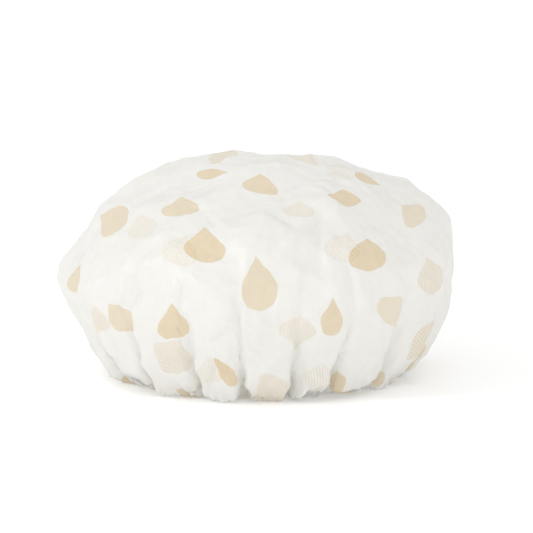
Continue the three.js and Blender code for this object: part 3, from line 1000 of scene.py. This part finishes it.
# Pieces
def make_piece(name, points, faces, material, nodes):
    """A smooth-shaded object from points in millimetres, riding on the body and standing for CAD nodes."""
    piece = add_mesh(name, np.asarray(points) * MM, faces)
    piece.data.polygons.foreach_set("use_smooth", np.ones(len(faces), bool))
    piece.data.materials.append(material)
    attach(piece, "root")
    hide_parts(*nodes)
    return piece


def make_film():
    """The cap's one sheet, with its hem and its print: the piece, its shape and its drops."""
    film = Film()
    rest = film.rest_shape()
    start = film.start_shape()
    puffed = run_cloth(film, start, rest)
    points, flats, faces = add_hem(film, fitted(film, puffed))
    points, flats, faces = smoothed(points, flats, faces)
    normals = vertex_normals(points, faces)
    if normals[np.argmax(points[:, 2]), 2] < 0:
        normals = -normals
    inside = 1 - smooth(*CRUMPLED_SHARES, np.linalg.norm(flats, axis=1) / film.length)
    lift = panels(film, flats)
    points = crumpled(points, normals, lift, inside, seen_creases(points, faces))
    points[:, 2] = np.maximum(points[:, 2], 0)
    drops = Print(points, flats, faces, normals)
    for drop in PHOTO_DROPS:
        drops.add_seen(*drop)
    drops.scatter(film.length)
    piece = make_piece("film", points, faces, film_material(), ["crown_film", "hem_casing"])
    for name, corners in drops.layers.items():
        add_vectors(piece.data, name, "CORNER", corners)
    layout = piece.data.uv_layers.new(name="OFBake")
    shares = 0.5 + flats[drops.quads] / (2 * film.cut_radius)
    layout.data.foreach_set("uv", shares.astype(np.float32).ravel())
    return piece, film, drops


def swept(sections):
    """Points and faces of a body swept through cross-sections of equally many points, closed at its ends."""
    size = len(sections[0])
    last = len(sections) * size - size
    faces = [tuple(range(size))[::-1], tuple(range(last, last + size))]
    for here in range(0, last, size):
        for i in range(size):
            j = (i + 1) % size
            faces.append((here + i, here + j, here + size + j, here + size + i))
    return np.vstack(sections), faces


TAPE_STEPS = 420
TAPE_RIBS = 6
TAPE_RIB_DEPTH = 0.1
POINTS_IN_RIB = 4
EDGE_POWER = 12


def tape_section():
    """The band's cross-section as (across, up): ribs on both faces, round edges."""
    steps = TAPE_RIBS * POINTS_IN_RIB
    across = (np.arange(steps) + 0.5) / steps - 0.5
    rib = np.abs(np.sin(math.pi * (across + 0.5) * TAPE_RIBS))
    edge = np.sqrt(1 - np.abs(2 * across) ** EDGE_POWER)
    up = (BAND_THICKNESS / 2 - TAPE_RIB_DEPTH * (1 - rib)) * edge
    top = np.c_[across * BAND_WIDTH, up]
    return np.vstack([top, (top * [1, -1])[::-1]])


def make_elastic():
    """The flat tape in the tunnel, its ends lapped."""
    lap = BAND_LAP / BAND_RADIUS
    profile = tape_section()
    sections = []
    tape = []
    for step in range(TAPE_STEPS + 1):
        share = step / TAPE_STEPS
        angle = LAP_ANGLE - lap / 2 + share * (2 * math.pi + lap)
        side = -1 if share < 0.5 else 1
        middle = BAND_MIDDLE + side * LAP_SHIFT * lap_swell(angle)
        sections.append(hem_point(BAND_CENTRE + profile[:, 0], middle + profile[:, 1], angle))
        along = np.full(len(profile), share * (2 * math.pi * BAND_RADIUS + BAND_LAP))
        tape.append(np.c_[along, profile])
    points, faces = swept(sections)
    piece = make_piece("elastic_tape", points, faces, elastic_material(), ["elastic_band"])
    add_vectors(piece.data, "tape", "POINT", np.vstack(tape))
    return piece


THREAD_RADIUS = 0.2
THREAD_SIDES = 6


def tube(line):
    """Points and faces of a thread along a line of points."""
    line = np.asarray(line)
    along = np.gradient(line, axis=0)
    along /= np.linalg.norm(along, axis=1)[:, None]
    side = np.cross(along, [0, 0, 1.0])
    side /= np.maximum(np.linalg.norm(side, axis=1), TINY)[:, None]
    up = np.cross(side, along)
    turns = 2 * math.pi * np.arange(THREAD_SIDES) / THREAD_SIDES
    sections = []
    for point, across, over in zip(line, side, up):
        ring = np.outer(np.cos(turns), across) + np.outer(np.sin(turns), over)
        sections.append(point + THREAD_RADIUS * ring)
    return swept(sections)


STITCH_LENGTH = 3
STITCH_SHARE = 0.8
STITCH_STEPS = 7
STITCH_LIFT = 0.12
SEAM_STEPS_IN_RUFFLE = 16
SEAM_SOFTENING = range(-2, 3)
# Where the search for the film at the seam starts and what it aims at, as w, from outside and from inside
NEEDLE_SEARCH = (-8, 2)
BOBBIN_SEARCH = (6, -2)


def seam_line(drops, w_from, w_towards):
    """Where the film lies along the stitching, and the way out of it there, found from one side of it."""
    steps = RUFFLES * SEAM_STEPS_IN_RUFFLE
    places = []
    lifts = []
    for step in range(steps):
        angle = 2 * math.pi * step / steps
        start = hem_point(SEAM_U, w_from, angle)
        towards = hem_point(SEAM_U, w_towards, angle) - start
        hit, way, _, _ = drops.tree.ray_cast(Vector(start), Vector(towards).normalized())
        if hit is None:
            places.append(start + towards / 2)
            lifts.append(-towards / np.linalg.norm(towards))
        else:
            places.append(np.array(hit))
            lifts.append(-np.array(way) * np.sign(way @ Vector(towards)))
    lifts = sum(np.roll(lifts, shift, axis=0) for shift in SEAM_SOFTENING)
    return np.array(places), lifts / np.linalg.norm(lifts, axis=1)[:, None]


def make_stitches(name, node, places, lifts):
    """Single stitches end to end along the seam, each with its ends pulled into the film."""
    table = np.c_[places, lifts]
    table = np.vstack([table, table[:1]])
    run = np.r_[0, np.cumsum(np.linalg.norm(np.diff(table[:, :3], axis=0), axis=1))]
    count = round(run[-1] / STITCH_LENGTH)
    spread = np.linspace(0, STITCH_SHARE, STITCH_STEPS)
    arch = np.sin(math.pi * spread / STITCH_SHARE)[:, None]
    points = []
    faces = []
    total = 0
    for number in range(count):
        at = (number + spread) / count * run[-1]
        middle, ahead = np.split(np.stack([np.interp(at, run, column) for column in table.T], 1), 2, axis=1)
        body, skin = tube(middle + ahead * (STITCH_LIFT * (2 * arch - 1) + THREAD_RADIUS * arch))
        points.append(body)
        faces += [tuple(index + total for index in face) for face in skin]
        total += len(body)
    return make_piece(name, np.vstack(points), faces, thread_material(), [node])


TACK_TURNS = 4
STEPS_IN_TURN = 16
TACK_ROOM = 0.25


def squared(value):
    """A sine or cosine moved towards 1 or -1, so that the circle they draw is nearly a square."""
    return math.copysign(math.sqrt(abs(value)), value)


def make_join_thread():
    """A few turns of thread over both ends of the band where they lap."""
    half_width = BAND_WIDTH / 2 + TACK_ROOM + THREAD_RADIUS
    half_height = LAP_SHIFT + BAND_THICKNESS / 2 + TACK_ROOM + THREAD_RADIUS
    steps = STEPS_IN_TURN * TACK_TURNS
    line = []
    for step in range(steps + 1):
        turn = 2 * math.pi * step / STEPS_IN_TURN
        across = half_width * squared(math.cos(turn))
        over = half_height * squared(math.sin(turn))
        angle = LAP_ANGLE + (step / steps - 0.5) * BAND_LAP / 2 / BAND_RADIUS
        line.append(hem_point(BAND_CENTRE + across, BAND_MIDDLE + over, angle))
    points, faces = tube(line)
    return make_piece("tape_join_thread", points, faces, thread_material(), ["elastic_join_thread"])


# Stage
def make_camera():
    """The photograph's view."""
    data = bpy.data.cameras.new("camera")
    data.sensor_width = SENSOR
    data.lens = SENSOR * CAMERA_DISTANCE / (IMAGE_SIZE * PIXEL)
    camera = add_object("camera", data)
    camera.location = (CAMERA_TARGET + CAMERA_BACK * CAMERA_DISTANCE) * MM
    camera.rotation_euler = (math.pi / 2 - CAMERA_ELEVATION, 0, 0)
    bpy.context.scene.camera = camera


def camera_sees(tree):
    """1 for rays from the camera, mirrors and glass."""
    rays = tree.nodes.new("ShaderNodeLightPath").outputs
    seen = maths(tree, "MAXIMUM", rays["Is Camera Ray"], rays["Is Glossy Ray"])
    return maths(tree, "MAXIMUM", seen, rays["Is Transmission Ray"])


FLOOR_REACH = 4
FLOOR_COLOUR = 0.98
FLOOR_SHOWS_AS = 1.02
WORLD_LEVEL = 0.91
# Lamps as (name, power, size, colour, place), in watts and metres like the floor
LAMPS = [
    ("key", 6, 0.35, (1, 1, 0.99), Vector((-1.3, -0.7, 0.8))),
    ("fill", 4, 0.6, (1, 0.96, 0.91), Vector((0.6, -1.5, 0.1))),
]
LAMP_AIM = Vector((0, 0, 0.07))


def make_floor():
    """A pale floor that shows as white but keeps the cap's shadow."""
    corners = FLOOR_REACH * np.array([(-1, -1, 0), (1, -1, 0), (1, 1, 0), (-1, 1, 0)])
    floor = add_mesh("floor", corners, [range(FACE_CORNERS)])
    material, tree, shader = new_material("floor")
    glow = maths(tree, "MULTIPLY", camera_sees(tree), FLOOR_SHOWS_AS - FLOOR_COLOUR * WORLD_LEVEL)
    feed(tree, shader, {
        "Base Color": (FLOOR_COLOUR, FLOOR_COLOUR, FLOOR_COLOUR, 1),
        "Roughness": 1,
        "Specular IOR Level": 0,
        "Emission Color": WHITE,
        "Emission Strength": glow,
    })
    floor.data.materials.append(material)


def make_light():
    """A white world that is a little brighter to the camera than to the cap, and the lamps."""
    world = bpy.data.worlds.new("studio")
    bpy.context.scene.world = world
    world.use_nodes = True
    tree = world.node_tree
    level = maths(tree, "MULTIPLY_ADD", camera_sees(tree), 1 - WORLD_LEVEL, WORLD_LEVEL)
    feed(tree, tree.nodes["Background"], {"Color": WHITE, "Strength": level})
    for name, power, size, colour, place in LAMPS:
        data = bpy.data.lights.new(name, "AREA")
        data.energy = power
        data.color = colour
        data.shape = "DISK"
        data.size = size
        lamp = add_object(name, data)
        lamp.location = place
        lamp.rotation_euler = (LAMP_AIM - place).to_track_quat("-Z", "Y").to_euler()


def main():
    bpy.context.scene.view_settings.view_transform = "Standard"
    make_camera()
    make_floor()
    make_light()
    film, shape, drops = make_film()
    tape = make_elastic()
    make_join_thread()
    needle = make_stitches("needle_stitches", "hem_needle_thread", *seam_line(drops, *NEEDLE_SEARCH))
    bobbin = make_stitches("bobbin_stitches", "hem_bobbin_thread", *seam_line(drops, *BOBBIN_SEARCH))


main()
